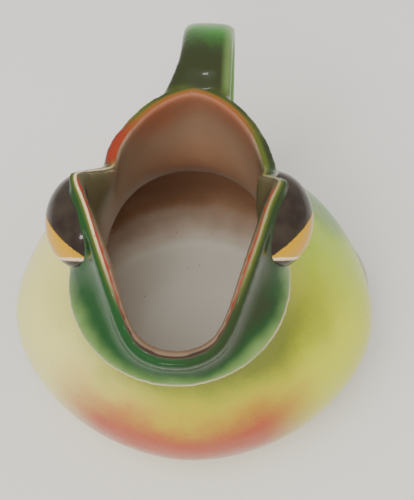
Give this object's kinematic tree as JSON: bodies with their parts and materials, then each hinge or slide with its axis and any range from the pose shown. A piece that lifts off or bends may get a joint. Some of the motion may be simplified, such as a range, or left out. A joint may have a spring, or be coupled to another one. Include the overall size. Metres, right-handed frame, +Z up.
{
  "type": "figural ceramic jug",
  "caption": "Glazed earthenware cream jug shaped as a sitting frog, with an open-mouth pouring lip, bulging eyes and a strap handle at the back.",
  "frame": {"origin": "middle of the foot's underside, on the surface the jug stands on", "axes": "+Z up, -Y the way the frog faces and the jug pours, +Y towards the handle, +X the jug's own right when seen from the front-top view"},
  "size_m": [0.1042, 0.1106, 0.0961],
  "materials": {
    "body_glaze": "airbrushed green, yellow and cream colours under a clear gloss glaze",
    "liner_glaze": "poured warm white gloss glaze, stained brown by use",
    "handle_glaze": "bright green under a clear gloss glaze",
    "eye_enamel": "dark brown lid over a golden yellow iris, gloss glaze",
    "leg_glaze": "deep green shading to cream under a clear gloss glaze"
  },
  "bodies": {
    "root": {"jug_body": "body_glaze", "liner_glaze": "liner_glaze", "handle": "handle_glaze", "left_eye": "eye_enamel", "right_eye": "eye_enamel", "left_hind_leg": "leg_glaze", "right_hind_leg": "leg_glaze"}
  },
  "joints": []
}
